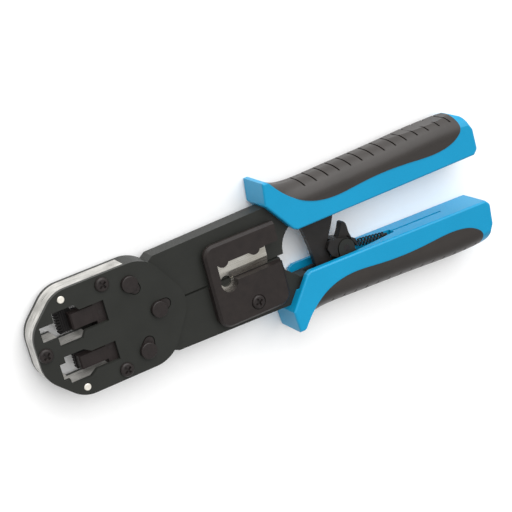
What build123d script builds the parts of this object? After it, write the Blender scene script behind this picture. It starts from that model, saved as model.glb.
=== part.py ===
from build123d import *
import math
import os

# Ratcheting crimping tool for modular plugs, closed, lying on its back with its front face up.
# X runs along the tool from the head to the handle ends, Y across it, Z through its thickness.
# The origin is on the outer face of the back plate, midway between the two outer pivot pins.

os.makedirs("parts", exist_ok=True)

# ---------------------------------------------------------------- driving dimensions, mm
# head stack
PLATE_T = 1.65            # front and back plates
CORE_T = 7.2              # die frame and levers between the plates
SLIDE_GAP = 0.1           # side play of each moving piece between the plates
FIT = 0.04                # radial running clearance of a pin
PRESS = 0.02              # radial clearance of a fixed pin
HEAD_HALF = 19.0          # half width of the head
NOSE_X = -36.5            # front end of the head
NOSE_CHAMFER = 11.0
NOSE_FILLET = 10.5
REAR_SHOULDER_X = 8.0     # the plates' rear edge slopes in from the shoulders to a rounded tip
REAR_SHOULDER_R = 11.7
REAR_TIP = (17.95, 3.1)
REAR_TIP_R = 10.0

# pivots
PIVOT_Y = 12.25           # outer pivot pins stand at this distance from the centre line
CENTRE_PIN_X = 7.7
PIN_R = 2.25
PIN_HEAD_R = 2.9
PIN_HEAD_H = 1.5
KEY_DEEP = 0.9            # key tab on each pin head, sunk in a recess of the plate
KEY_PROUD = 0.1
KEY_GAP = 0.35
KEY_R = 1.75
KEY_REACH = 2.9
RING_R = 3.6              # retaining rings on the back
RING_T = 0.8
PIN_TAIL = 1.4            # pin end standing out of the back plate
SPOT_DEEP = 0.15          # spot faces in the back plate under the retaining rings
SPOT_R = 3.9

# fasteners of the head
DOWEL_X, DOWEL_Y, DOWEL_R = -23.6, 15.95, 1.25
SIDE_SCREW_X, SIDE_SCREW_Y = -9.0, 15.65
NOSE_SCREW_X = -33.9
SCREW_R = 1.5
SCREW_HEAD_R = 2.5
SCREW_HEAD_H = 1.2
SCREW_SHY = 0.2           # the screws are tapped into the back plate and end short of its face

# plug openings: plug width, latch width and punch slot width, across the tool
WIDE_Y, WIDE_PLUG, WIDE_LATCH, WIDE_SLOT, WIDE_WAYS = 6.7, 12.0, 5.6, 7.6, 8
NARROW_Y, NARROW_PLUG, NARROW_LATCH, NARROW_SLOT, NARROW_WAYS = -7.92, 10.05, 6.0, 6.8, 6
WIDE_LATCH_X, WIDE_PLUG_X, WIDE_NECK_X = -33.3, -28.1, -20.2
NARROW_LATCH_X, NARROW_PLUG_X, NARROW_NECK_X = -30.4, -28.3, -21.2
SLOT_X, SLOT_END_X = -18.7, -10.0
CONTACT_PITCH = 1.02

# ram and punches
CHAMBER_X = -17.5         # front wall of the ram chamber
CHAMBER_HALF = 13.1
RAM_X = -13.4             # front of the ram with the tool closed
RAM_BAR_L = 3.8
RAM_SIDE_GAP = 0.25
STEM_LOW, STEM_HIGH, STEM_END_X = -3.6, 4.4, -2.9
NOSE_PIN_X = -5.5         # drive pin of the lower lever, on the centre line when closed
NOSE_PIN_R = 1.25
TONGUE_T = 2.6
WIDE_PUNCH_X, NARROW_PUNCH_X = -22.0, -23.1
WIDE_COMB_X, NARROW_COMB_X = -25.7, -23.5
COMB_L = 5.4              # length of a comb's toothed head, and the width of its stem behind it
COMB_STEM_W = 4.4
PUNCH_DROP = 0.2           # underside of the punches below the middle plane
WIDE_PUNCH_W, NARROW_PUNCH_W = 5.5, 4.6
PUNCH_PIN_X, PUNCH_PIN_Y, PUNCH_PIN_R = -11.6, 6.45, 0.8
SPRING_Y = -1.1

# levers
SPLIT = 0.35              # half of the gap between the two neck halves
EAR_R = 5.8               # upper lever's ear
SWING_EAR_R = 5.3         # lower lever's ear
NECK_X, NECK_END_X = 11.1, 57.9
NECK_HALF, NECK_END_HALF = 17.7, 18.8
TANG_END_X = 128.0

# cassette on the neck
CASS_X0, CASS_X1 = 27.4, 55.6
CASS_LOW_Y, CASS_HIGH_Y = -16.3, 14.2
CASS_T = 3.65             # height of the cassette above the levers
BLADE_T = 1.3
BLADE_TOP_GAP = 0.2
CUT_Y = -0.7              # anvil edge of the cassette
JAW_TOP_Y = 6.8

# ratchet, on arcs about the lower pivot
SECTOR_IN_R, SECTOR_TIP_R, TOOTH_H = 70.4, 77.3, 0.9
SECTOR_T = 2.4
SECTOR_LOW_DEG = -6.7
TOOTH_PITCH_DEG = 1.25
TOOTH_COUNT = 9
PAWL_X, PAWL_Y = 82.8, -7.1
PAWL_PIN_R = 1.25
PAWL_T = 6.4
PAWL_HUB_T = 3.4
PAWL_SWING_DEG = 25.0
ANCHOR_X, ANCHOR_Y, ANCHOR_R = 101.3, -10.2, 0.7

# handles
HANDLE_T = 15.0
UPPER_AT = (62.8, 7.75)   # inner corner of each handle behind its guard
LOWER_AT = (63.6, -8.25)
UPPER_TILT, LOWER_TILT = 0.5, 1.25
GRIP_PROUD = 0.3
BACK_R = 7.0              # rounding of the outer side, seen from the handle's end
BACK_SKIN = 0.03          # the rounding cutter stays this far off the outer side itself
EDGE_R = 0.8              # rounding of the other long edges
WEB_T = 9.0               # handle core inside the grip
MOUTH_HALF = 5.3

Z_BACK = PLATE_T
Z_FRONT = PLATE_T + CORE_T
HEAD_T = CORE_T + 2 * PLATE_T
Z_MID = HEAD_T / 2
PUNCH_LOW_Z = Z_MID - PUNCH_DROP
COMB_TOP_Z = PUNCH_LOW_Z - 0.05
CASS_TOP_Z = Z_FRONT + CASS_T
P_UPPER = (0.0, PIVOT_Y)
P_LOWER = (0.0, -PIVOT_Y)
P_CENTRE = (CENTRE_PIN_X, 0.0)
HEAD_SCREWS = [(SIDE_SCREW_X, SIDE_SCREW_Y), (SIDE_SCREW_X, -SIDE_SCREW_Y), (NOSE_SCREW_X, 0)]
KEY_TURNS = {P_UPPER: -56.0, P_CENTRE: 16.0, P_LOWER: 65.0}
HANDLE_Z0 = Z_MID - HANDLE_T / 2
HANDLE_Z1 = Z_MID + HANDLE_T / 2


def on_circle(centre, radius, degrees):
    turn = math.radians(degrees)
    return (centre[0] + radius * math.cos(turn), centre[1] + radius * math.sin(turn))


# ---------------------------------------------------------------- shared outlines
with BuildSketch() as head_shape:
    Polygon(
        (REAR_SHOULDER_X, HEAD_HALF), (NOSE_X + NOSE_CHAMFER, HEAD_HALF),
        (NOSE_X, HEAD_HALF - NOSE_CHAMFER), (NOSE_X, NOSE_CHAMFER - HEAD_HALF),
        (NOSE_X + NOSE_CHAMFER, -HEAD_HALF), (REAR_SHOULDER_X, -HEAD_HALF),
        (REAR_TIP[0], -REAR_TIP[1]), REAR_TIP, align=None)
    fillet(head_shape.vertices().group_by(Axis.X)[-1], REAR_TIP_R)
    fillet(head_shape.vertices().filter_by_position(Axis.X, REAR_SHOULDER_X - 0.1,
                                                    REAR_SHOULDER_X + 0.1), REAR_SHOULDER_R)
    fillet(head_shape.vertices().filter_by_position(Axis.X, NOSE_X - 1, NOSE_X + NOSE_CHAMFER + 1),
           NOSE_FILLET)


def stepped_slot(y, steps):
    """Cuts a slot symmetrical about y whose half width steps through (x, half width) pairs."""
    side = [(x, y + half) for x, half in steps]
    other = [(x, y - half) for x, half in reversed(steps)]
    Polygon(*side, *other, align=None, mode=Mode.SUBTRACT)


def plate_openings():
    """Both plug openings of a plate, with the narrower slots that show the punches."""
    stepped_slot(WIDE_Y, [
        (WIDE_LATCH_X, WIDE_LATCH / 2), (WIDE_PLUG_X, WIDE_LATCH / 2),
        (WIDE_PLUG_X + 0.01, WIDE_PLUG / 2), (WIDE_NECK_X, WIDE_PLUG / 2),
        (SLOT_X, WIDE_SLOT / 2), (SLOT_END_X, WIDE_SLOT / 2)])
    stepped_slot(NARROW_Y, [
        (NARROW_LATCH_X, NARROW_LATCH / 2), (NARROW_PLUG_X, NARROW_LATCH / 2),
        (NARROW_PLUG_X + 0.01, NARROW_PLUG / 2), (NARROW_NECK_X, NARROW_PLUG / 2),
        (SLOT_X, NARROW_SLOT / 2), (SLOT_END_X, NARROW_SLOT / 2)])


def head_fastener_holes():
    with Locations((SIDE_SCREW_X, SIDE_SCREW_Y), (SIDE_SCREW_X, -SIDE_SCREW_Y), (NOSE_SCREW_X, 0)):
        Circle(SCREW_R + PRESS, mode=Mode.SUBTRACT)
    with Locations((DOWEL_X, DOWEL_Y), (DOWEL_X, -DOWEL_Y)):
        Circle(DOWEL_R + PRESS, mode=Mode.SUBTRACT)


def key_shape(centre, grow=0.0):
    """The key tab under a pin head: a rounded tab that reaches out to one side."""
    tab = on_circle(centre, KEY_REACH, KEY_TURNS[centre])
    with Locations(centre):
        Circle(PIN_HEAD_R - 0.3 + grow)
    with Locations(tab):
        Circle(KEY_R + grow)
    make_hull()


# ---------------------------------------------------------------- plates and die frame
with BuildPart() as front_plate:
    with BuildSketch(Plane.XY.offset(Z_FRONT)):
        add(head_shape.sketch)
        plate_openings()
        head_fastener_holes()
        with Locations(P_UPPER, P_LOWER, P_CENTRE):
            Circle(PIN_R + PRESS, mode=Mode.SUBTRACT)
    extrude(amount=PLATE_T)
    for centre in KEY_TURNS:
        with BuildSketch(Plane.XY.offset(HEAD_T - KEY_DEEP)):
            key_shape(centre, KEY_GAP)
        extrude(amount=KEY_DEEP, mode=Mode.SUBTRACT)
front_plate.part.label = "front_plate"
export_step(front_plate.part, "parts/front_plate.step")

with BuildPart() as back_plate:
    with BuildSketch():
        add(head_shape.sketch)
        plate_openings()
        head_fastener_holes()
        with Locations(P_UPPER, P_LOWER, P_CENTRE):
            Circle(PIN_R + PRESS, mode=Mode.SUBTRACT)
    extrude(amount=PLATE_T)
    with BuildSketch():
        with Locations(P_UPPER, P_LOWER, P_CENTRE):
            Circle(SPOT_R)
    extrude(amount=SPOT_DEEP, mode=Mode.SUBTRACT)
back_plate.part.label = "back_plate"
export_step(back_plate.part, "parts/back_plate.step")

FRAME_UPPER_END_X, FRAME_LOWER_END_X = 0.45, -6.4
TONGUE_LEDGE_Y = 16.9     # the upper arm thins to this ledge above the lever's ear
EAR_RELIEF = 0.5
RIB_LOW, RIB_HIGH = NARROW_Y + NARROW_PLUG / 2, WIDE_Y - WIDE_PLUG / 2
SPRING_HOLE_R, SPRING_POCKET_X = 1.45, -26.0

with BuildPart() as die_frame:
    with BuildSketch(Plane.XY.offset(Z_BACK)):
        add(head_shape.sketch)
        stepped_slot(WIDE_Y, [
            (WIDE_LATCH_X, WIDE_LATCH / 2), (WIDE_PLUG_X, WIDE_LATCH / 2),
            (WIDE_PLUG_X + 0.01, WIDE_PLUG / 2), (CHAMBER_X + 1, WIDE_PLUG / 2)])
        stepped_slot(NARROW_Y, [
            (NARROW_LATCH_X, NARROW_LATCH / 2), (NARROW_PLUG_X, NARROW_LATCH / 2),
            (NARROW_PLUG_X + 0.01, NARROW_PLUG / 2), (CHAMBER_X + 1, NARROW_PLUG / 2)])
        with Locations((CHAMBER_X, 0)):
            Rectangle(60, 2 * CHAMBER_HALF, align=(Align.MIN, Align.CENTER), mode=Mode.SUBTRACT)
        with Locations((FRAME_UPPER_END_X, 0)):
            Rectangle(60, 60, align=(Align.MIN, Align.MIN), mode=Mode.SUBTRACT)
        with Locations((FRAME_LOWER_END_X, 0)):
            Rectangle(60, 60, align=(Align.MIN, Align.MAX), mode=Mode.SUBTRACT)
        with Locations(P_UPPER):
            Circle(EAR_R + EAR_RELIEF, mode=Mode.SUBTRACT)
            Rectangle(2 * EAR_R, TONGUE_LEDGE_Y - PIVOT_Y, align=(Align.CENTER, Align.MIN),
                      mode=Mode.SUBTRACT)
        with Locations(P_LOWER):
            Circle(SWING_EAR_R + EAR_RELIEF, mode=Mode.SUBTRACT)
        head_fastener_holes()
    extrude(amount=CORE_T)
    with BuildSketch(Plane.YZ.offset(SPRING_POCKET_X)):
        with Locations((SPRING_Y, Z_MID)):
            Circle(SPRING_HOLE_R)
    extrude(amount=CHAMBER_X - SPRING_POCKET_X + 1, mode=Mode.SUBTRACT)
die_frame.part.label = "die_frame"
export_step(die_frame.part, "parts/die_frame.step")

# ---------------------------------------------------------------- head fasteners
with BuildPart() as locating_dowels:
    with BuildSketch():
        with Locations((DOWEL_X, DOWEL_Y), (DOWEL_X, -DOWEL_Y)):
            Circle(DOWEL_R)
    extrude(amount=HEAD_T + 0.15)
    chamfer(locating_dowels.edges().group_by(Axis.Z)[-1], 0.2)
locating_dowels.part.label = "locating_dowels"
export_step(locating_dowels.part, "parts/locating_dowels.step")

CROSS_L, CROSS_W, CROSS_DEEP = 2.9, 0.75, 0.9

with BuildPart() as head_screws:
    with BuildSketch(Plane.XY.offset(SCREW_SHY)):
        with Locations(*HEAD_SCREWS):
            Circle(SCREW_R)
    extrude(amount=HEAD_T - SCREW_SHY)
    with BuildSketch(Plane.XY.offset(HEAD_T)):
        with Locations(*HEAD_SCREWS):
            Circle(SCREW_HEAD_R)
    extrude(amount=SCREW_HEAD_H)
    fillet(head_screws.edges().group_by(Axis.Z)[-1], 0.8)
    with BuildSketch(Plane.XY.offset(HEAD_T + SCREW_HEAD_H)):
        with Locations(*HEAD_SCREWS):
            Rectangle(CROSS_L, CROSS_W, rotation=35)
            Rectangle(CROSS_W, CROSS_L, rotation=35)
    extrude(amount=-CROSS_DEEP, mode=Mode.SUBTRACT)
head_screws.part.label = "head_screws"
export_step(head_screws.part, "parts/head_screws.step")


def keyed_pin(centre):
    """Fills the active part with one pivot pin: shank, key tab, domed head and ring groove."""
    with BuildSketch(Plane.XY.offset(-PIN_TAIL)) as shank:
        with Locations(centre):
            Circle(PIN_R)
    extrude(shank.sketch, amount=PIN_TAIL + HEAD_T)
    with BuildSketch(Plane.XY.offset(HEAD_T - KEY_DEEP)) as tab:
        key_shape(centre)
    extrude(tab.sketch, amount=KEY_DEEP + KEY_PROUD)
    with BuildSketch(Plane.XY.offset(HEAD_T)) as cap:
        with Locations(centre):
            Circle(PIN_HEAD_R)
    extrude(cap.sketch, amount=PIN_HEAD_H)
    fillet(edges().group_by(Axis.Z)[-1], 0.35)
    with BuildSketch(Plane.XY.offset(SPOT_DEEP - RING_T)) as groove:
        with Locations(centre):
            Circle(PIN_R + 1)
            Circle(PIN_R - 0.5, mode=Mode.SUBTRACT)
    extrude(groove.sketch, amount=RING_T, mode=Mode.SUBTRACT)


with BuildPart() as upper_pivot_pin:
    keyed_pin(P_UPPER)
upper_pivot_pin.part.label = "upper_pivot_pin"
export_step(upper_pivot_pin.part, "parts/upper_pivot_pin.step")

with BuildPart() as centre_pin:
    keyed_pin(P_CENTRE)
centre_pin.part.label = "centre_pin"
export_step(centre_pin.part, "parts/centre_pin.step")

with BuildPart() as lower_pivot_pin:
    keyed_pin(P_LOWER)
lower_pivot_pin.part.label = "lower_pivot_pin"
export_step(lower_pivot_pin.part, "parts/lower_pivot_pin.step")

with BuildPart() as retaining_rings:
    with BuildSketch(Plane.XY.offset(SPOT_DEEP - RING_T)):
        with Locations(P_UPPER, P_LOWER, P_CENTRE):
            Circle(RING_R)
            Circle(PIN_R - 0.5 + PRESS, mode=Mode.SUBTRACT)
            Rectangle(2 * RING_R, 1.6, align=(Align.MIN, Align.CENTER), mode=Mode.SUBTRACT)
    extrude(amount=RING_T - PRESS)
retaining_rings.part.label = "retaining_rings"
export_step(retaining_rings.part, "parts/retaining_rings.step")

# ---------------------------------------------------------------- levers
BOSS_R = 3.9              # upper lever's boss about the centre pin
END_ARC = [(58.0, 1.2), (59.2, 5.4), (62.8, 9.0)]

with BuildSketch() as upper_lever_shape:
    with BuildLine():
        Polyline(
            END_ARC[2], (66, 10.6), (TANG_END_X, 12.2), (TANG_END_X, 16.6), (66, 17.4),
            (56, NECK_END_HALF), (NECK_X, NECK_HALF), (NECK_X - 2.6, NECK_HALF - 1.8), (2, 8),
            (5.5, SPLIT), (NECK_END_X, SPLIT), END_ARC[0])
        ThreePointArc(*END_ARC)
    make_face()
    with Locations(P_UPPER):
        Circle(EAR_R)
        Rectangle(EAR_R + 2, EAR_R, align=(Align.MIN, Align.MAX))
    with Locations(P_CENTRE):
        Circle(BOSS_R)

with BuildSketch() as ear_shoulder:
    add(head_shape.sketch)
    with Locations((FRAME_UPPER_END_X + 0.1, PIVOT_Y)):
        Rectangle(9.5, 8, align=(Align.MIN, Align.MIN), mode=Mode.INTERSECT)

with BuildSketch() as upper_lever_full:
    add(upper_lever_shape.sketch)
    add(ear_shoulder.sketch)

SECTOR_SLOT_X = (66.6, 83.0)
SECTOR_RIVETS = [(71.0, 13.6), (78.0, 13.9)]
SECTOR_RIVET_R = 1.5
BLADE_RIVETS = [(33.6, 9.6), (46.1, 9.6)]
BLADE_RIVET_R = 1.2
BLADE_Z1 = Z_FRONT + BLADE_T

with BuildPart() as upper_lever:
    with BuildSketch(Plane.XY.offset(Z_BACK)):
        add(upper_lever_full.sketch)
        with Locations(P_UPPER, P_CENTRE):
            Circle(PIN_R + PRESS, mode=Mode.SUBTRACT)
        with Locations(*SECTOR_RIVETS):
            Circle(SECTOR_RIVET_R + PRESS, mode=Mode.SUBTRACT)
        with Locations(*BLADE_RIVETS):
            Circle(BLADE_RIVET_R + PRESS, mode=Mode.SUBTRACT)
    extrude(amount=CORE_T)
    with BuildSketch(Plane.XY.offset(Z_MID - SECTOR_T / 2)):
        with Locations((SECTOR_SLOT_X[0], 0)):
            Rectangle(SECTOR_SLOT_X[1] - SECTOR_SLOT_X[0], 40, align=(Align.MIN, Align.CENTER))
    extrude(amount=SECTOR_T, mode=Mode.SUBTRACT)
upper_lever.part.label = "upper_lever"
export_step(upper_lever.part, "parts/upper_lever.step")

PAWL_EAR_R = 3.3
TANG_SLOT = (66.0, 103.0)
SLOT_HALF = PAWL_HUB_T / 2 + 0.15
SWING_T = CORE_T - 2 * SLIDE_GAP
CASS_SCREW = (42.8, -11.3)
CASS_SCREW_R = 1.5

with BuildSketch() as lower_lever_shape:
    with BuildLine():
        Polyline(
            (56.2, -SPLIT), (57.2, -5.5), (62.5, -10.3), (79, -10.3), (86.5, -11.9), (104, -12.2),
            (TANG_END_X, -13.6), (TANG_END_X, -17.2), (66, -17.6), (56, -NECK_END_HALF),
            (NECK_X + 0.4, -NECK_HALF), (NECK_X - 2.2, -NECK_HALF + 1.2),
            (1.5, -PIVOT_Y - SWING_EAR_R + 0.2), (0.5, -9), (5.2, -5.4),
            (9, -4.4), (12.3, -SPLIT), (56.2, -SPLIT))
    make_face()
    with Locations(P_LOWER):
        Circle(SWING_EAR_R)
    with Locations(P_CENTRE):
        Circle(BOSS_R + 0.5, mode=Mode.SUBTRACT)
    with Locations((PAWL_X, PAWL_Y)):
        Circle(PAWL_EAR_R)
        Rectangle(2 * PAWL_EAR_R, 6, align=(Align.CENTER, Align.MAX))

with BuildPart() as lower_lever:
    with BuildSketch(Plane.XY.offset(Z_BACK + SLIDE_GAP)):
        add(lower_lever_shape.sketch)
        with Locations(P_LOWER):
            Circle(PIN_R + FIT, mode=Mode.SUBTRACT)
        with Locations((PAWL_X, PAWL_Y)):
            Circle(PAWL_PIN_R + PRESS, mode=Mode.SUBTRACT)
        with Locations(CASS_SCREW):
            Circle(CASS_SCREW_R + PRESS, mode=Mode.SUBTRACT)
    extrude(amount=SWING_T)
    with BuildSketch(Plane.XY.offset(Z_MID - SLOT_HALF)):
        with Locations((TANG_SLOT[0], 0)):
            Rectangle(TANG_SLOT[1] - TANG_SLOT[0], 60, align=(Align.MIN, Align.CENTER))
    extrude(amount=2 * SLOT_HALF, mode=Mode.SUBTRACT)
    with BuildSketch(Plane.XY.offset(Z_MID - TONGUE_T / 2)):
        with Locations((NOSE_PIN_X, 0)):
            Circle(2.4)
        with Locations(P_LOWER):
            Circle(3.6)
        make_hull()
        with Locations((NOSE_PIN_X, 0)):
            Circle(NOSE_PIN_R + PRESS, mode=Mode.SUBTRACT)
        with Locations(P_LOWER):
            Circle(PIN_R + FIT, mode=Mode.SUBTRACT)
    extrude(amount=TONGUE_T)
lower_lever.part.label = "lower_lever"
export_step(lower_lever.part, "parts/lower_lever.step")

with BuildPart() as drive_pin:
    with BuildSketch(Plane.XY.offset(Z_BACK + 0.3)):
        with Locations((NOSE_PIN_X, 0)):
            Circle(NOSE_PIN_R)
    extrude(amount=CORE_T - 0.6)
drive_pin.part.label = "drive_pin"
export_step(drive_pin.part, "parts/drive_pin.step")

# ---------------------------------------------------------------- ram, punches, combs
RAM_TOP_Z = Z_FRONT - SLIDE_GAP
FORK_GAP = 0.3
SLOT_CLEAR = 0.15
PIN_RISE = 0.9            # how far the drive pin climbs across the tool as it swings

with BuildPart() as ram:
    with BuildSketch(Plane.XY.offset(Z_BACK + SLIDE_GAP)):
        with Locations((RAM_X, 0)):
            Rectangle(RAM_BAR_L, 2 * (CHAMBER_HALF - RAM_SIDE_GAP), align=(Align.MIN, Align.CENTER))
        with Locations((RAM_X, STEM_LOW)):
            Rectangle(STEM_END_X - RAM_X, STEM_HIGH - STEM_LOW, align=(Align.MIN, Align.MIN))
        with Locations((NOSE_PIN_X, PIN_RISE / 2)):
            SlotCenterToCenter(PIN_RISE + 0.5, 2 * (NOSE_PIN_R + SLOT_CLEAR), rotation=90,
                               mode=Mode.SUBTRACT)
        with Locations((PUNCH_PIN_X, PUNCH_PIN_Y), (PUNCH_PIN_X, -PUNCH_PIN_Y)):
            Circle(PUNCH_PIN_R + PRESS, mode=Mode.SUBTRACT)
    extrude(amount=RAM_TOP_Z - Z_BACK - SLIDE_GAP)
    with BuildSketch(Plane.XY.offset(Z_MID - TONGUE_T / 2 - FORK_GAP)):
        with Locations((NOSE_PIN_X - 3.1, 0)):
            Rectangle(20, 30, align=(Align.MIN, Align.CENTER))
    extrude(amount=TONGUE_T + 2 * FORK_GAP, mode=Mode.SUBTRACT)
    for y, width in ((WIDE_Y, WIDE_PUNCH_W), (NARROW_Y, NARROW_PUNCH_W)):
        with BuildSketch(Plane.XY.offset(PUNCH_LOW_Z)):
            with Locations((RAM_X, y)):
                Rectangle(RAM_BAR_L - 0.9, width + 2 * PRESS, align=(Align.MIN, Align.CENTER))
        extrude(amount=CORE_T, mode=Mode.SUBTRACT)
    with BuildSketch(Plane.YZ.offset(RAM_X)):
        with Locations((SPRING_Y, Z_MID)):
            Circle(SPRING_HOLE_R)
    extrude(amount=1.5, mode=Mode.SUBTRACT)
    fillet(ram.edges().filter_by(Axis.Z).group_by(Axis.X)[0].group_by(Axis.Y)[0], 0.6)
    fillet(ram.edges().filter_by(Axis.Z).group_by(Axis.X)[0].group_by(Axis.Y)[-1], 0.6)
ram.part.label = "ram"
export_step(ram.part, "parts/ram.step")


def punch_block(front, y, width):
    """The near half of a punch: a key that sits in the ram and presses the plug's cable bar."""
    with BuildSketch(Plane.XY.offset(PUNCH_LOW_Z)) as bar:
        with Locations((front, y)):
            Rectangle(RAM_X - front + RAM_BAR_L - 0.9, width, align=(Align.MIN, Align.CENTER))
        with Locations((PUNCH_PIN_X, math.copysign(PUNCH_PIN_Y, y))):
            Circle(PUNCH_PIN_R + PRESS, mode=Mode.SUBTRACT)
    extrude(bar.sketch, amount=RAM_TOP_Z - PUNCH_LOW_Z)


def contact_comb(front, y, ways):
    """The far half of a punch: a toothed head with one blade for each contact, on a stem."""
    width = ways * CONTACT_PITCH - CONTACT_PITCH / 2
    with BuildSketch(Plane.XY.offset(Z_BACK + SLIDE_GAP)) as bar:
        with Locations((front, y)):
            Rectangle(COMB_L, width, align=(Align.MIN, Align.CENTER))
            Rectangle(RAM_X - front, COMB_STEM_W, align=(Align.MIN, Align.CENTER))
        with Locations((front, y)):
            with GridLocations(1, CONTACT_PITCH, 1, ways - 1):
                Rectangle(2.0, CONTACT_PITCH / 2, mode=Mode.SUBTRACT)
    extrude(bar.sketch, amount=COMB_TOP_Z - Z_BACK - SLIDE_GAP)
    with BuildSketch(Plane.XY.offset(COMB_TOP_Z)) as grooves:
        with Locations((front + 3.0, y)):
            with GridLocations(0.8, 1, 5, 1):
                Rectangle(0.35, width + 1)
    extrude(grooves.sketch, amount=-0.35, mode=Mode.SUBTRACT)


with BuildPart() as wide_punch:
    punch_block(WIDE_PUNCH_X, WIDE_Y, WIDE_PUNCH_W)
    chamfer(wide_punch.edges().filter_by(Axis.Y).group_by(Axis.X)[0].group_by(Axis.Z)[-1], 0.5)
wide_punch.part.label = "wide_punch"
export_step(wide_punch.part, "parts/wide_punch.step")

with BuildPart() as narrow_punch:
    punch_block(NARROW_PUNCH_X, NARROW_Y, NARROW_PUNCH_W)
    chamfer(narrow_punch.edges().filter_by(Axis.Y).group_by(Axis.X)[0].group_by(Axis.Z)[-1], 0.5)
narrow_punch.part.label = "narrow_punch"
export_step(narrow_punch.part, "parts/narrow_punch.step")

with BuildPart() as wide_comb:
    contact_comb(WIDE_COMB_X, WIDE_Y, WIDE_WAYS)
wide_comb.part.label = "wide_comb"
export_step(wide_comb.part, "parts/wide_comb.step")

with BuildPart() as narrow_comb:
    contact_comb(NARROW_COMB_X, NARROW_Y, NARROW_WAYS)
narrow_comb.part.label = "narrow_comb"
export_step(narrow_comb.part, "parts/narrow_comb.step")

with BuildPart() as punch_pins:
    with BuildSketch(Plane.XY.offset(Z_BACK + 0.3)):
        with Locations((PUNCH_PIN_X, PUNCH_PIN_Y), (PUNCH_PIN_X, -PUNCH_PIN_Y)):
            Circle(PUNCH_PIN_R)
    extrude(amount=RAM_TOP_Z - Z_BACK - 0.3)
punch_pins.part.label = "punch_pins"
export_step(punch_pins.part, "parts/punch_pins.step")

# ---------------------------------------------------------------- springs
RAM_SPRING_R, RAM_SPRING_WIRE = 1.0, 0.22
PAWL_SPRING_R, PAWL_SPRING_WIRE = 1.3, 0.25
RAM_SPRING_X0 = SPRING_POCKET_X + RAM_SPRING_WIRE
RAM_SPRING_L = RAM_X + 1.5 - RAM_SPRING_WIRE - RAM_SPRING_X0

with BuildPart() as ram_spring:
    with BuildLine() as ram_coil:
        Helix(pitch=RAM_SPRING_L / 11, height=RAM_SPRING_L, radius=RAM_SPRING_R,
              center=(RAM_SPRING_X0, SPRING_Y, Z_MID), direction=(1, 0, 0))
    with BuildSketch(Plane(ram_coil.line @ 0, z_dir=ram_coil.line % 0)):
        Circle(RAM_SPRING_WIRE)
    sweep(path=ram_coil.line)
ram_spring.part.label = "ram_spring"
export_step(ram_spring.part, "parts/ram_spring.step")

SPRING_FROM = (89.3, -8.2, Z_MID)
SPRING_TO = (ANCHOR_X - 1.1, ANCHOR_Y + 0.5, Z_MID)
spring_axis = Vector(*SPRING_TO) - Vector(*SPRING_FROM)

with BuildPart() as pawl_spring:
    with BuildLine() as pawl_coil:
        Helix(pitch=spring_axis.length / 8, height=spring_axis.length, radius=PAWL_SPRING_R,
              center=SPRING_FROM, direction=spring_axis)
    with BuildSketch(Plane(pawl_coil.line @ 0, z_dir=pawl_coil.line % 0)):
        Circle(PAWL_SPRING_WIRE)
    sweep(path=pawl_coil.line)
pawl_spring.part.label = "pawl_spring"
export_step(pawl_spring.part, "parts/pawl_spring.step")

ANCHOR_HALF = 3.6
with BuildPart() as spring_anchor_pin:
    with BuildSketch(Plane.XY.offset(Z_MID - ANCHOR_HALF)):
        with Locations((ANCHOR_X, ANCHOR_Y)):
            Circle(ANCHOR_R)
    extrude(amount=2 * ANCHOR_HALF)
spring_anchor_pin.part.label = "spring_anchor_pin"
export_step(spring_anchor_pin.part, "parts/spring_anchor_pin.step")

# ---------------------------------------------------------------- cutter and stripper on the neck
BLADE_X = (29.8, 51.2)
BLADE_HIGH_Y = 12.2
NOTCH_X, NOTCH_R = 34.2, 3.2
BLADE_EDGE_Y = CUT_Y + 0.35
BEVEL_W = 3.0
SCREW_HEAD_SINK = 0.7
RELIEF_Z = BLADE_Z1 + BLADE_TOP_GAP

with BuildPart() as cutter_blade:
    with BuildSketch(Plane.XY.offset(Z_FRONT)):
        with Locations((BLADE_X[0], BLADE_EDGE_Y)):
            Rectangle(BLADE_X[1] - BLADE_X[0], BLADE_HIGH_Y - BLADE_EDGE_Y,
                      align=(Align.MIN, Align.MIN))
        with Locations((NOTCH_X, BLADE_EDGE_Y)):
            Circle(NOTCH_R - 1.4, mode=Mode.SUBTRACT)
        with Locations(*BLADE_RIVETS):
            Circle(BLADE_RIVET_R + PRESS, mode=Mode.SUBTRACT)
    extrude(amount=BLADE_T)
    with BuildSketch(Plane.YZ.offset(BLADE_X[0] - 1)):
        Polygon((BLADE_EDGE_Y, Z_FRONT + 0.25), (BLADE_EDGE_Y + BEVEL_W, BLADE_Z1),
                (BLADE_EDGE_Y, BLADE_Z1), align=None)
    extrude(amount=BLADE_X[1] - BLADE_X[0] + 2, mode=Mode.SUBTRACT)
cutter_blade.part.label = "cutter_blade"
export_step(cutter_blade.part, "parts/cutter_blade.step")

with BuildPart() as blade_rivets:
    with BuildSketch(Plane.XY.offset(Z_BACK)):
        with Locations(*BLADE_RIVETS):
            Circle(BLADE_RIVET_R)
    extrude(amount=BLADE_Z1 - Z_BACK)
blade_rivets.part.label = "blade_rivets"
export_step(blade_rivets.part, "parts/blade_rivets.step")

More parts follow.
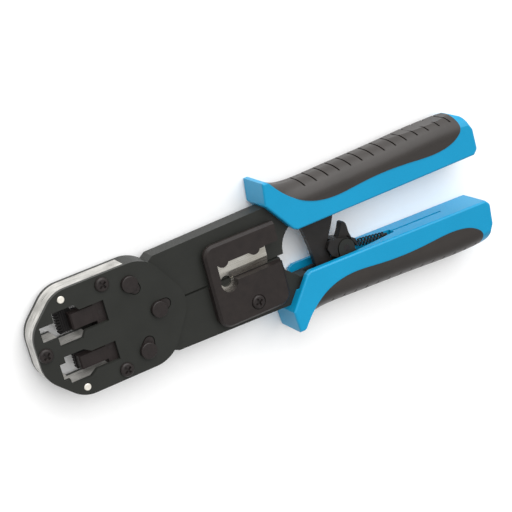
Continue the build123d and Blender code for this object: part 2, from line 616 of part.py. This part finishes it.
with BuildPart() as cassette:
    with BuildSketch(Plane.XY.offset(Z_FRONT - SLIDE_GAP)) as cassette_shape:
        with Locations((CASS_X0, CASS_LOW_Y)):
            Rectangle(CASS_X1 - CASS_X0, CASS_HIGH_Y - CASS_LOW_Y, align=(Align.MIN, Align.MIN))
        fillet(cassette_shape.vertices().group_by(Axis.X)[0], 4.2)
        fillet(cassette_shape.vertices().group_by(Axis.Y)[0].group_by(Axis.X)[-1], 4.2)
        with Locations((31.3, CUT_Y)):
            Rectangle(50.6 - 31.3, JAW_TOP_Y - CUT_Y, align=(Align.MIN, Align.MIN),
                      mode=Mode.SUBTRACT)
        with Locations((50, CUT_Y)):
            Rectangle(10, JAW_TOP_Y - CUT_Y + 0.3, align=(Align.MIN, Align.MIN), mode=Mode.SUBTRACT)
        with Locations((33.6, JAW_TOP_Y + 0.8), (46.1, JAW_TOP_Y + 0.8)):
            Circle(2.2)
        with Locations((NOTCH_X, CUT_Y)):
            Circle(NOTCH_R, mode=Mode.SUBTRACT)
        with Locations(CASS_SCREW):
            Circle(CASS_SCREW_R + PRESS, mode=Mode.SUBTRACT)
    extrude(amount=CASS_TOP_Z - Z_FRONT + SLIDE_GAP)
    with BuildSketch(Plane.XY.offset(Z_FRONT - SLIDE_GAP - 1)):
        with Locations((CASS_X0 - 1, CUT_Y)):
            Rectangle(40, 30, align=(Align.MIN, Align.MIN))
    extrude(amount=RELIEF_Z - Z_FRONT + SLIDE_GAP + 1, mode=Mode.SUBTRACT)
    outer = cassette.faces().group_by(Axis.Z)[-1].face().outer_wire().edges()
    chamfer(outer.filter_by(lambda edge: edge.center().X < CASS_X0 + 1.5 or
                            edge.center().Y > CASS_HIGH_Y - 0.5 or
                            edge.center().Y < CASS_LOW_Y + 1.5), 0.9)
    with BuildSketch(Plane.XY.offset(CASS_TOP_Z)):
        with Locations(CASS_SCREW):
            Circle(SCREW_HEAD_R + 0.2)
    extrude(amount=-SCREW_HEAD_SINK, mode=Mode.SUBTRACT)
cassette.part.label = "cassette"
export_step(cassette.part, "parts/cassette.step")

with BuildPart() as cassette_screw:
    with BuildSketch(Plane.XY.offset(Z_BACK + 0.6)):
        with Locations(CASS_SCREW):
            Circle(CASS_SCREW_R)
    extrude(amount=CASS_TOP_Z - SCREW_HEAD_SINK - Z_BACK - 0.6)
    with BuildSketch(Plane.XY.offset(CASS_TOP_Z - SCREW_HEAD_SINK)):
        with Locations(CASS_SCREW):
            Circle(SCREW_HEAD_R)
    extrude(amount=SCREW_HEAD_H)
    fillet(cassette_screw.edges().group_by(Axis.Z)[-1], 0.8)
    with BuildSketch(Plane.XY.offset(CASS_TOP_Z - SCREW_HEAD_SINK + SCREW_HEAD_H)):
        with Locations(CASS_SCREW):
            Rectangle(CROSS_L, CROSS_W, rotation=20)
            Rectangle(CROSS_W, CROSS_L, rotation=20)
    extrude(amount=-CROSS_DEEP, mode=Mode.SUBTRACT)
cassette_screw.part.label = "cassette_screw"
export_step(cassette_screw.part, "parts/cassette_screw.step")

STRIP_T = 0.6
with BuildPart() as stripping_blade:
    with BuildSketch(Plane.XY.offset(Z_FRONT - SLIDE_GAP)):
        with Locations((NOTCH_X, CUT_Y)):
            Circle(NOTCH_R - PRESS)
            Circle(NOTCH_R - 1.2, mode=Mode.SUBTRACT)
            Rectangle(20, 20, align=(Align.CENTER, Align.MIN), mode=Mode.SUBTRACT)
    extrude(amount=STRIP_T)
stripping_blade.part.label = "stripping_blade"
export_step(stripping_blade.part, "parts/stripping_blade.step")

# ---------------------------------------------------------------- ratchet
with BuildPart() as ratchet_sector:
    with BuildSketch(Plane.XY.offset(Z_MID - SECTOR_T / 2)):
        with BuildLine():
            tail_in = on_circle(P_LOWER, SECTOR_IN_R, SECTOR_LOW_DEG)
            tail_out = on_circle(P_LOWER, SECTOR_TIP_R, SECTOR_LOW_DEG)
            neck_in = on_circle(P_LOWER, SECTOR_IN_R, 14.0)
            neck_out = on_circle(P_LOWER, SECTOR_TIP_R, 7.0)
            ThreePointArc(tail_in, on_circle(P_LOWER, SECTOR_IN_R, 3.5), neck_in)
            Polyline(neck_in, (67.2, 8.4), (67.2, 16.2), (82.4, 16.2), (82.4, 8.4))
            ThreePointArc((82.4, 8.4), (80.2, 3.2), neck_out)
            ThreePointArc(neck_out, on_circle(P_LOWER, SECTOR_TIP_R, 0), tail_out)
            Line(tail_out, tail_in)
        make_face()
        for tooth in range(TOOTH_COUNT):
            at = SECTOR_LOW_DEG + 0.5 + tooth * TOOTH_PITCH_DEG
            root = on_circle(P_LOWER, SECTOR_TIP_R - TOOTH_H, at)
            with BuildLine():
                Polyline(root, on_circle(P_LOWER, SECTOR_TIP_R + 0.3, at - 0.1),
                         on_circle(P_LOWER, SECTOR_TIP_R + 0.3, at + TOOTH_PITCH_DEG * 0.85), root)
            make_face(mode=Mode.SUBTRACT)
        with Locations(*SECTOR_RIVETS):
            Circle(SECTOR_RIVET_R + PRESS, mode=Mode.SUBTRACT)
    extrude(amount=SECTOR_T)
ratchet_sector.part.label = "ratchet_sector"
export_step(ratchet_sector.part, "parts/ratchet_sector.step")

with BuildPart() as sector_rivets:
    with BuildSketch(Plane.XY.offset(Z_BACK)):
        with Locations(*SECTOR_RIVETS):
            Circle(SECTOR_RIVET_R)
    extrude(amount=CORE_T)
sector_rivets.part.label = "sector_rivets"
export_step(sector_rivets.part, "parts/sector_rivets.step")

PAWL_GAP = 0.3
WEB_R = SECTOR_TIP_R + PAWL_GAP
THUMB_T = 3.2
THUMB_HOLE = (85.0, -4.1)
with BuildPart() as pawl:
    with BuildSketch(Plane.XY.offset(Z_MID - PAWL_T / 2)) as pawl_shape:
        Polygon((85.4, -3.9), (87.4, -5.2), (87.6, -8.0), (84.4, -10.4), (79.4, -9.8), (76.4, -7.8),
                (75.4, -4.8), (76.8, -2.6), (79.6, -2.4), align=None)
        fillet(pawl_shape.vertices(), 1.1)
        with Locations((PAWL_X, PAWL_Y)):
            Circle(PAWL_PIN_R + FIT, mode=Mode.SUBTRACT)
        with Locations(THUMB_HOLE):
            Circle(0.6, mode=Mode.SUBTRACT)
    extrude(amount=PAWL_T)
    with BuildSketch(Plane.XY.offset(Z_MID - THUMB_T / 2)) as thumb_shape:
        Polygon((86.8, -5.4), (85.9, -2.6), (85.6, 0.8), (84.9, 2.1), (83.9, 1.9), (82.9, -0.4),
                (81.3, -2.9), (81.3, -4.6), align=None)
        fillet(thumb_shape.vertices().group_by(Axis.Y)[-1], 0.5)
        with Locations(THUMB_HOLE):
            Circle(0.6, mode=Mode.SUBTRACT)
    extrude(amount=THUMB_T)
    with BuildSketch(Plane.XY.offset(Z_MID - SECTOR_T / 2 - PAWL_GAP)):
        with Locations(P_LOWER):
            Circle(WEB_R + 1.2)
            with Locations((WEB_R + 0.6, 7.6)):
                Rectangle(3, 1.4, rotation=6, mode=Mode.SUBTRACT)
            Circle(WEB_R)
    extrude(amount=SECTOR_T + 2 * PAWL_GAP, mode=Mode.SUBTRACT)
    for low in (Z_MID - PAWL_T / 2, Z_MID + PAWL_HUB_T / 2):
        with BuildSketch(Plane.XY.offset(low)):
            with Locations((PAWL_X, PAWL_Y)):
                Circle(PAWL_EAR_R + PAWL_GAP)
            for turn in (0, PAWL_SWING_DEG):
                with Locations(Location((PAWL_X, PAWL_Y, 0), (0, 0, turn))):
                    Rectangle(2 * PAWL_EAR_R + 2 * PAWL_GAP, 8, align=(Align.CENTER, Align.MAX))
            make_hull()
        extrude(amount=(PAWL_T - PAWL_HUB_T) / 2, mode=Mode.SUBTRACT)
pawl.part.label = "pawl"
export_step(pawl.part, "parts/pawl.step")

with BuildPart() as pawl_pin:
    with BuildSketch(Plane.XY.offset(Z_BACK + SLIDE_GAP)):
        with Locations((PAWL_X, PAWL_Y)):
            Circle(PAWL_PIN_R)
    extrude(amount=SWING_T)
pawl_pin.part.label = "pawl_pin"
export_step(pawl_pin.part, "parts/pawl_pin.step")

# ---------------------------------------------------------------- handles
# A handle's outline is drawn in its own axes: s along its inner face from the inner corner behind
# the guard, t outwards. The lower handle is the mirror image of the upper one.
HANDLE_L = 80.2
GUARD_S, GUARD_T = -8.6, 12.4
GUARD_TIP = (-7.7, 20.4)
OUTER_T = 15.9
upper_plane = Plane((*UPPER_AT, HANDLE_Z0), z_dir=(0, 0, 1),
                    x_dir=Vector(1, 0, 0).rotate(Axis.Z, UPPER_TILT))
lower_plane = Plane((*LOWER_AT, HANDLE_Z1), z_dir=(0, 0, -1),
                    x_dir=Vector(1, 0, 0).rotate(Axis.Z, -LOWER_TILT))


OUTER_LINE = [(HANDLE_L - 34, OUTER_T + 0.9), (16, OUTER_T + 0.1), (6.4, OUTER_T), (-1.2, 17.2)]
OUTER_END = (HANDLE_L - 6.6, OUTER_T + 1.1)

with BuildSketch() as handle_shape:
    with BuildLine():
        Polyline(
            (GUARD_TIP[0] + 1.6, GUARD_TIP[1]), GUARD_TIP, (GUARD_S, GUARD_T), (-0.4, 0.9), (1.2, 0),
            (HANDLE_L - 2.2, 0), (HANDLE_L - 0.4, 1.8), (HANDLE_L - 0.6, 9.6),
            (HANDLE_L - 3.4, 15.2), OUTER_END)
        Spline(OUTER_END, *OUTER_LINE, (GUARD_TIP[0] + 1.6, GUARD_TIP[1]),
               tangents=[(-1, -0.1), (-1, 0.9)])
    make_face()
    fillet(handle_shape.vertices().filter_by_position(Axis.X, HANDLE_L - 0.9, HANDLE_L), 2.0)
    fillet(handle_shape.vertices().filter_by_position(Axis.X, HANDLE_L - 4, HANDLE_L - 3), 3.0)

# Cutter that rounds the outer side of a handle and its grip, in the handle's own axes about its
# middle plane.
with BuildPart() as back_rounding:
    with BuildLine() as outer_path:
        Spline((HANDLE_L + 1, OUTER_T + 0.3), OUTER_END, *OUTER_LINE, (-6.1, 20.4), (-9, 24),
               tangents=[(-1, 0.1), (-1, 1.6)])
    along = outer_path.line % 0
    half = HANDLE_T / 2 + GRIP_PROUD
    with BuildSketch(Plane(outer_path.line @ 0, x_dir=along.cross(Vector(0, 0, 1)), z_dir=along)):
        with Locations((-BACK_R, 0)):
            Rectangle(BACK_R + 2, 2 * half + 2, align=(Align.MIN, Align.CENTER))
        with Locations((BACK_SKIN, 0)):
            RectangleRounded(4 * BACK_R, 2 * half, BACK_R, align=(Align.MAX, Align.CENTER),
                             mode=Mode.SUBTRACT)
    sweep(path=outer_path.line)

with BuildPart() as end_rounding:
    add(back_rounding.part)
    with Locations((HANDLE_L - 20, 0, 0)):
        Box(40, 60, 60, align=(Align.MIN, Align.CENTER, Align.CENTER), mode=Mode.INTERSECT)

with BuildSketch() as grip_shape:
    with BuildLine():
        Spline((-6.6, 22.5), (-4.4, 18.6), (-0.4, 14.0), (6.5, 9.1), (16.1, 6.6), (30, 7.3),
               (50, 7.2), (66, 6.9), (72, 9.1), (74.4, 12.4), (73.4, 17.0), (71.4, 22.5),
               tangents=[(0.35, -1), (-0.5, 1)])
        Line((71.4, 22.5), (-6.6, 22.5))
    make_face()
    add(handle_shape.sketch, mode=Mode.INTERSECT)

with BuildSketch() as grip_back_shape:
    add(grip_shape.sketch)
    with Locations((-20, OUTER_T - 1.8)):
        Rectangle(120, 20, align=(Align.MIN, Align.MIN), mode=Mode.INTERSECT)


def handle_body(plane):
    """A moulded handle: rounded full outline, thinned to a core where the grip goes."""
    side = (HANDLE_T - WEB_T) / 2
    with BuildSketch(plane) as whole:
        add(handle_shape.sketch)
    extrude(whole.sketch, amount=HANDLE_T)
    fillet(edges().filter_by(lambda edge: abs(abs(edge.center().Z - Z_MID) - HANDLE_T / 2) < 0.01
                             and edge.geom_type != GeomType.BSPLINE), EDGE_R)
    add(plane.offset(HANDLE_T / 2).location * end_rounding.part, mode=Mode.SUBTRACT)
    for at in (0, HANDLE_T - side):
        with BuildSketch(plane.offset(at)) as recess:
            add(grip_shape.sketch)
        extrude(recess.sketch, amount=side, mode=Mode.SUBTRACT)
    with BuildSketch(plane.offset(side)) as back:
        add(grip_back_shape.sketch)
    extrude(back.sketch, amount=WEB_T, mode=Mode.SUBTRACT)


def lever_cut(shape):
    with BuildSketch(Plane.XY.offset(Z_BACK)) as cavity:
        add(shape)
    extrude(cavity.sketch, amount=CORE_T, mode=Mode.SUBTRACT)


with BuildPart() as upper_handle:
    handle_body(upper_plane)
    lever_cut(upper_lever_shape.sketch)
    with BuildSketch(Plane.XY.offset(Z_MID - SECTOR_T / 2 - PRESS)):
        with Locations((SECTOR_SLOT_X[0], 0)):
            Rectangle(SECTOR_SLOT_X[1] - SECTOR_SLOT_X[0], 17.4, align=(Align.MIN, Align.MIN))
    extrude(amount=SECTOR_T + 2 * PRESS, mode=Mode.SUBTRACT)
upper_handle.part.label = "upper_handle"
export_step(upper_handle.part, "parts/upper_handle.step")

SLOT_W = 1.1
MOUTH_END_X, MOUTH_TAPER_X, MOUTH_TIP_X, MOUTH_DEEP = 126.0, 84.0, 101.0, -14.2
with BuildPart() as lower_handle:
    handle_body(lower_plane)
    lever_cut(lower_lever_shape.sketch)
    with BuildSketch(Plane.XZ.offset(4)):
        with BuildLine():
            Polyline((54, Z_MID - MOUTH_HALF), (MOUTH_TAPER_X, Z_MID - MOUTH_HALF),
                     (MOUTH_TIP_X + 3, Z_MID - 1.9), (MOUTH_TIP_X + 3, Z_MID + 1.9),
                     (MOUTH_TAPER_X, Z_MID + MOUTH_HALF), (54, Z_MID + MOUTH_HALF),
                     (54, Z_MID - MOUTH_HALF))
        make_face()
    extrude(amount=-MOUTH_DEEP - 4, mode=Mode.SUBTRACT)
    with BuildSketch(Plane.XZ.offset(4)):
        with Locations((MOUTH_TIP_X, Z_MID)):
            Rectangle(MOUTH_END_X - MOUTH_TIP_X, SLOT_W, align=(Align.MIN, Align.CENTER))
    extrude(amount=7.2, mode=Mode.SUBTRACT)
    with BuildSketch(Plane.XY.offset(Z_MID - SLOT_HALF)):
        with Locations(P_LOWER):
            Circle(SECTOR_TIP_R + 1)
            Circle(SECTOR_IN_R - 0.6, mode=Mode.SUBTRACT)
        with Locations((60, -21.3)):
            Rectangle(30, 16, align=(Align.MIN, Align.MIN), mode=Mode.INTERSECT)
    extrude(amount=2 * SLOT_HALF, mode=Mode.SUBTRACT)
    with BuildSketch(Plane.XY.offset(Z_MID - ANCHOR_HALF - PRESS)):
        with Locations((ANCHOR_X, ANCHOR_Y)):
            Circle(ANCHOR_R + PRESS)
    extrude(amount=2 * (ANCHOR_HALF + PRESS), mode=Mode.SUBTRACT)
lower_handle.part.label = "lower_handle"
export_step(lower_handle.part, "parts/lower_handle.step")


# Cutter for the finger grooves: arcs across the back, sunk evenly below the rounded outer side.
GROOVE_COUNT, GROOVE_PITCH, GROOVE_FIRST_S = 14, 4.85, 7.2
GROOVE_W, GROOVE_DEEP, GROOVE_REACH, GROOVE_BEND_R = 0.55, 0.6, 2.3, 14.0

with BuildPart() as groove_depth:
    with BuildSketch(Plane(outer_path.line @ 0, x_dir=along.cross(Vector(0, 0, 1)), z_dir=along)):
        with Locations((-GROOVE_REACH, 0)):
            Rectangle(GROOVE_REACH + 2, 2 * half + 2, align=(Align.MIN, Align.CENTER))
        with Locations((-GROOVE_DEEP, 0)):
            RectangleRounded(4 * BACK_R, 2 * (half - GROOVE_DEEP), BACK_R - GROOVE_DEEP,
                             align=(Align.MAX, Align.CENTER), mode=Mode.SUBTRACT)
    sweep(path=outer_path.line)

with BuildPart() as grip_grooves:
    with BuildSketch(Plane.XZ.offset(-10)):
        for groove in range(GROOVE_COUNT):
            with Locations((GROOVE_FIRST_S + groove * GROOVE_PITCH + GROOVE_BEND_R, 0)):
                Circle(GROOVE_BEND_R + GROOVE_W / 2)
                Circle(GROOVE_BEND_R - GROOVE_W / 2, mode=Mode.SUBTRACT)
            with Locations((GROOVE_FIRST_S + groove * GROOVE_PITCH + 4, 0)):
                Rectangle(60, 4 * HANDLE_T, align=(Align.MIN, Align.CENTER), mode=Mode.SUBTRACT)
    extrude(amount=-20)
    add(groove_depth.part, mode=Mode.INTERSECT)


def grip_body(plane):
    """The soft overmould: two cheeks proud of the handle, joined and grooved across the back."""
    side = (HANDLE_T - WEB_T) / 2
    with BuildSketch(plane.offset(-GRIP_PROUD)) as back:
        add(grip_back_shape.sketch)
    extrude(back.sketch, amount=HANDLE_T + 2 * GRIP_PROUD)
    for at in (-GRIP_PROUD, HANDLE_T - side):
        with BuildSketch(plane.offset(at)) as cheek:
            add(grip_shape.sketch)
        extrude(cheek.sketch, amount=side + GRIP_PROUD)
    middle = plane.offset(HANDLE_T / 2).location
    add(middle * back_rounding.part, mode=Mode.SUBTRACT)
    add(middle * grip_grooves.part, mode=Mode.SUBTRACT)


with BuildPart() as upper_grip:
    grip_body(upper_plane)
upper_grip.part.label = "upper_grip"
export_step(upper_grip.part, "parts/upper_grip.step")

with BuildPart() as lower_grip:
    grip_body(lower_plane)
lower_grip.part.label = "lower_grip"
export_step(lower_grip.part, "parts/lower_grip.step")
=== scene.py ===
"""Ratcheting crimping tool for modular plugs: finishes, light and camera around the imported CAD.

Sizes are metres in the frame of the CAD: X from the head to the handle ends, Y towards the fixed
upper handle, Z out of the front plate, and the origin on the back plate midway between the pivots.
"""
import math

import bmesh
import bpy
from mathutils import Matrix, Vector


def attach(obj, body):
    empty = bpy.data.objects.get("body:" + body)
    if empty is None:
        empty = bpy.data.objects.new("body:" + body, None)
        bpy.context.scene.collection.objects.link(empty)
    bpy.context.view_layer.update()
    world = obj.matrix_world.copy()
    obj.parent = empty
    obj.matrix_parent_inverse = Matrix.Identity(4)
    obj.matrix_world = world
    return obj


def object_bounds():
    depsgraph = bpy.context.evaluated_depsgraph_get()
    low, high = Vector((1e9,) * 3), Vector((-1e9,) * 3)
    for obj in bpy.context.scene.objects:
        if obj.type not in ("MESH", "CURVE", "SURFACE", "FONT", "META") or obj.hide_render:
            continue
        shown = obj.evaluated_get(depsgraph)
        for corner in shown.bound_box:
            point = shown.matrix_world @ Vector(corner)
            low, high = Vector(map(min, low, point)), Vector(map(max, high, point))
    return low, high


MM = 0.001

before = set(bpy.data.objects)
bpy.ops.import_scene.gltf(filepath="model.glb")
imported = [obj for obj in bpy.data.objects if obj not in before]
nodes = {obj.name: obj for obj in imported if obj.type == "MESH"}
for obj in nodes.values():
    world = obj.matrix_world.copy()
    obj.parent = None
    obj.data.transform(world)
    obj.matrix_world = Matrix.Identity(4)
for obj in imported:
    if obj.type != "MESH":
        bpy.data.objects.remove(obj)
cad_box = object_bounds()


# ---------------------------------------------------------------- materials
# Noise detail of the two patterns, the grain's share in the colour and the strength of its relief.
BROAD_DETAIL, GRAIN_DETAIL = 4.0, 3.0
GRAIN_SHARE = 0.4
RELIEF = 0.6


def linear(hex_code):
    """An sRGB hex colour as the linear RGBA that shaders take."""
    out = []
    for i in (1, 3, 5):
        c = int(hex_code[i:i + 2], 16) / 255
        out.append(c / 12.92 if c <= 0.04045 else ((c + 0.055) / 1.055) ** 2.4)
    return (*out, 1.0)


def add_node(tree, kind, settings, links):
    """Adds one node. Settings are attributes or socket values, links are sockets and sources."""
    made = tree.nodes.new(kind)
    for key, value in settings.items():
        if isinstance(key, str) and hasattr(made, key):
            setattr(made, key, value)
        else:
            made.inputs[key].default_value = value
    for socket, source in links.items():
        tree.links.new(source, made.inputs[socket])
    return made.outputs


def finish(name, dark, light, broad, fine, rough, height=0.0, fine_shape=(1, 1, 1), **shader):
    """A surface in two patterns: the broad one drifts the colour, the fine one is its grain.

    Sizes are millimetres. fine_shape stretches the grain along the axes, as grinding does.
    """
    material = bpy.data.materials.new(name)
    material.use_nodes = True
    tree = material.node_tree
    surface = tree.nodes["Principled BSDF"]
    for socket, value in shader.items():
        surface.inputs[socket.replace("_", " ")].default_value = value
    place = add_node(tree, "ShaderNodeTexCoord", {}, {})["Object"]
    wide = add_node(tree, "ShaderNodeTexNoise", {"Scale": 1 / (broad * MM), "Detail": BROAD_DETAIL},
                    {"Vector": place})["Fac"]
    along = add_node(tree, "ShaderNodeMapping",
                     {"Scale": [1 / (fine * MM * stretch) for stretch in fine_shape]},
                     {"Vector": place})["Vector"]
    grain = add_node(tree, "ShaderNodeTexNoise", {"Scale": 1.0, "Detail": GRAIN_DETAIL},
                     {"Vector": along})["Fac"]
    part = add_node(tree, "ShaderNodeMath", {"operation": "MULTIPLY", 1: GRAIN_SHARE},
                    {0: grain})["Value"]
    both = add_node(tree, "ShaderNodeMath", {"operation": "MULTIPLY_ADD", 1: 1 - GRAIN_SHARE},
                    {0: wide, 2: part})["Value"]
    drift = add_node(tree, "ShaderNodeMapRange", {"From Min": 0.35, "From Max": 0.65},
                     {"Value": both})["Result"]
    tint = add_node(tree, "ShaderNodeMix", {"data_type": "RGBA", "A": linear(dark),
                                            "B": linear(light)}, {"Factor": drift})["Result"]
    gloss = add_node(tree, "ShaderNodeMapRange",
                     {"From Min": 0.3, "From Max": 0.7, "To Min": rough[0], "To Max": rough[1]},
                     {"Value": grain})["Result"]
    tree.links.new(tint, surface.inputs["Base Color"])
    tree.links.new(gloss, surface.inputs["Roughness"])
    if height:
        relief = add_node(tree, "ShaderNodeBump", {"Distance": height * MM, "Strength": RELIEF},
                          {"Height": grain})["Normal"]
        tree.links.new(relief, surface.inputs["Normal"])
    return material


# ---------------------------------------------------------------- finishes
# Grain finer than 0.3 mm would not show at the tool's size, so it is drawn at about 0.3 mm.
FINISHES = [
    # Stamped steel, black oxide: flat near-black, a faint mill grain and slightly rubbed patches.
    (finish("Stamped steel, black oxide", "#262724", "#2B2C29", 9, 0.35, (0.42, 0.55), 0.010,
            IOR=1.5, Specular_IOR_Level=0.25),
     ["front_plate", "back_plate", "upper_lever", "lower_lever"]),
    # Die frame, ground lengthwise and nickel plated: bright, with fine lines round its edge.
    # Its broad grey blotches, #908E89 against #D6D4CF, are painted shade and painted dark
    # reflection over the plating's own even tone.
    (finish("Steel, ground and nickel plated, with painted shade", "#908E89", "#D6D4CF", 6, 0.4, (0.26, 0.4), 0.006,
            fine_shape=(12, 12, 1), Metallic=0.55),
     ["die_frame"]),
    # Glass filled nylon in clear blue, moulded with spark texture: even satin colour.
    (finish("Nylon, moulded blue with spark texture", "#008DBA", "#0494C2", 25, 0.3,
            (0.3, 0.4), 0.008, IOR=1.53, Specular_IOR_Level=0.35),
     ["upper_handle", "lower_handle"]),
    # Thermoplastic elastomer overmould: warm black, broad dull sheen, soft matt grain.
    (finish("Thermoplastic elastomer, overmoulded", "#2A2623", "#322D2A", 12, 0.3,
            (0.36, 0.46), 0.012, IOR=1.5, Specular_IOR_Level=0.5),
     ["upper_grip", "lower_grip"]),
    # Fasteners and pins in black zinc: brown black, slightly glossier than the plates.
    (finish("Steel, black zinc plated", "#1F1A19", "#292322", 1.2, 0.3, (0.34, 0.48), 0.006,
            IOR=1.5, Specular_IOR_Level=0.35),
     ["head_screws", "cassette_screw", "retaining_rings", "sector_rivets", "upper_pivot_pin",
      "centre_pin", "lower_pivot_pin", "pawl_pin", "spring_anchor_pin", "punch_pins"]),
    # Hardened dowels, centreless ground: pale bright ends.
    (finish("Hardened steel, centreless ground", "#E4DED2", "#F8F4EA", 1.5, 0.4, (0.3, 0.42),
            Metallic=0.35),
     ["locating_dowels", "drive_pin"]),
    # Tool steel ground across and blackened: brown black with faint lines.
    (finish("Tool steel, ground and blackened", "#211B1A", "#292221", 4, 0.4, (0.4, 0.54), 0.008,
            fine_shape=(1, 10, 10), IOR=1.5, Specular_IOR_Level=0.3),
     ["ram", "wide_punch", "narrow_punch"]),
    # Contact combs, blackened steel: nearly without gloss between their teeth. Their colour is
    # painted darker than the other blackened tool steel, as painted shade.
    (finish("Tool steel, blackened comb, darkened as painted shade", "#0E0C0C", "#181515", 2, 0.4, (0.5, 0.62),
            IOR=1.5, Specular_IOR_Level=0.3),
     ["wide_comb", "narrow_comb"]),
    # Cassette in glass filled nylon, moulded: brown black, matt, mottled by its fibres.
    (finish("Glass filled nylon, moulded brown black", "#211C1B", "#2A2422", 3, 0.3,
            (0.44, 0.58), 0.014, IOR=1.5, Specular_IOR_Level=0.3),
     ["cassette"]),
    # Blade steel, surface ground along its edge: bright, with grinding lines.
    (finish("Blade steel, surface ground", "#C9C4B8", "#EAE7DF", 8, 0.3, (0.22, 0.36), 0.006,
            fine_shape=(25, 1, 1), Metallic=1.0),
     ["cutter_blade", "blade_rivets", "stripping_blade"]),
    # Sintered steel, oil blackened: dense black with fine pores.
    (finish("Sintered steel, oil blackened", "#1B1917", "#242120", 3, 0.3, (0.36, 0.5), 0.012,
            IOR=1.5, Specular_IOR_Level=0.35),
     ["ratchet_sector", "pawl"]),
    # Oil tempered spring wire: dark and smooth, with a drawn shine.
    (finish("Spring wire, oil tempered", "#1C1B1B", "#363433", 2, 0.5, (0.28, 0.4),
            Metallic=0.6),
     ["ram_spring", "pawl_spring"]),
]
for surface, names in FINISHES:
    for name in names:
        nodes[name].data.materials.clear()
        nodes[name].data.materials.append(surface)

# ---------------------------------------------------------------- hooked ends of the pawl spring
# Wire radius and the height of the levers' middle plane, in millimetres.
WIRE_R, MID_Z = 0.25, 5.25
WIRE_SIDES, BEND_STEPS = 16, 24


def wire_hook(name, centre, bend, start, turn, body):
    """A wire end bent part of the way round a centre, in the plane of the levers."""
    mesh = bmesh.new()
    bmesh.ops.create_circle(mesh, cap_ends=True, radius=WIRE_R * MM,
                            segments=WIRE_SIDES)
    bmesh.ops.rotate(mesh, verts=mesh.verts, matrix=Matrix.Rotation(math.pi / 2, 3, "X"))
    bmesh.ops.translate(mesh, verts=mesh.verts, vec=(bend * MM, 0, 0))
    bmesh.ops.rotate(mesh, verts=mesh.verts, matrix=Matrix.Rotation(math.radians(start), 3, "Z"))
    bmesh.ops.spin(mesh, geom=mesh.verts[:] + mesh.edges[:] + mesh.faces[:], cent=(0, 0, 0),
                   axis=(0, 0, 1), angle=math.radians(turn), steps=BEND_STEPS,
                   use_duplicate=False)
    bmesh.ops.recalc_face_normals(mesh, faces=mesh.faces)
    bmesh.ops.translate(mesh, verts=mesh.verts, vec=Vector((*centre, MID_Z)) * MM)
    for face in mesh.faces:
        face.smooth = True
    data = bpy.data.meshes.new(name)
    mesh.to_mesh(data)
    mesh.free()
    hook = bpy.data.objects.new(name, data)
    bpy.context.scene.collection.objects.link(hook)
    hook.data.materials.append(nodes["pawl_spring"].data.materials[0])
    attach(hook, body)


wire_hook("spring_hook_anchor", (101.3, -10.2), 1.0, 60, 250, "lower_lever_body")
wire_hook("spring_hook_pawl", (88.55, -8.1), 0.75, 0, 180, "pawl_body")

# ---------------------------------------------------------------- camera
# The camera's own axes in the frame of the CAD, its place and its lens.
BACK = Vector((-0.3737, 0.3278, 0.8677))
UP = Vector((0.3564, 0.9144, -0.1919))
RIGHT = Vector((0.8563, -0.2375, 0.4586))
CAMERA_AT = Vector((-0.13847, 0.16667, 0.44103))
LENS_MM = 101.1

camera = bpy.data.objects.new("camera", bpy.data.cameras.new("camera"))
camera.data.lens = LENS_MM
camera.matrix_world = Matrix.Translation(CAMERA_AT) @ Matrix(
    (RIGHT.normalized(), UP.normalized(), BACK.normalized())).transposed().to_4x4()
bpy.context.scene.collection.objects.link(camera)
bpy.context.scene.camera = camera

# ---------------------------------------------------------------- floor
FLOOR_HALF = 3.0
FLOOR_GAP = 0.1 * MM

lowest, highest = cad_box
middle = (lowest + highest) / 2

table = bmesh.new()
bmesh.ops.create_grid(table, x_segments=1, y_segments=1, size=FLOOR_HALF)
bmesh.ops.translate(table, verts=table.verts, vec=(middle.x, middle.y, lowest.z - FLOOR_GAP))
floor_mesh = bpy.data.meshes.new("floor")
table.to_mesh(floor_mesh)
table.free()
floor = bpy.data.objects.new("floor", floor_mesh)
bpy.context.scene.collection.objects.link(floor)
floor.data.materials.append(finish("Table, white paper", "#FDFDFD", "#FFFFFF", 30, 3,
                                   (0.85, 0.95)))


# ---------------------------------------------------------------- light
def soft_sun(name, source, angle, energy, shadow):
    """A sun that shines from a direction, with a disc wide enough to soften its shadows."""
    sun = bpy.data.lights.new(name, "SUN")
    sun.angle, sun.energy, sun.use_shadow = angle, energy, shadow
    lamp = bpy.data.objects.new(name, sun)
    lamp.rotation_mode = "QUATERNION"
    lamp.rotation_quaternion = Vector(source).to_track_quat("Z", "Y")
    bpy.context.scene.collection.objects.link(lamp)


soft_sun("key", (0.12, 0.62, 0.78), 1.3, 2.5, True)
# The fill lifts the sides that face the fixed handle, and casts no shadow of its own.
soft_sun("fill", (0.1, 0.97, 0.22), 1.0, 1.1, False)

WORLD_WHITE, WORLD_STRENGTH = (1, 1, 1, 1), 0.5

world = bpy.data.worlds.new("studio")
world.use_nodes = True
world.node_tree.nodes["Background"].inputs["Color"].default_value = WORLD_WHITE
world.node_tree.nodes["Background"].inputs["Strength"].default_value = WORLD_STRENGTH
bpy.context.scene.world = world
bpy.context.scene.view_settings.view_transform = "Standard"
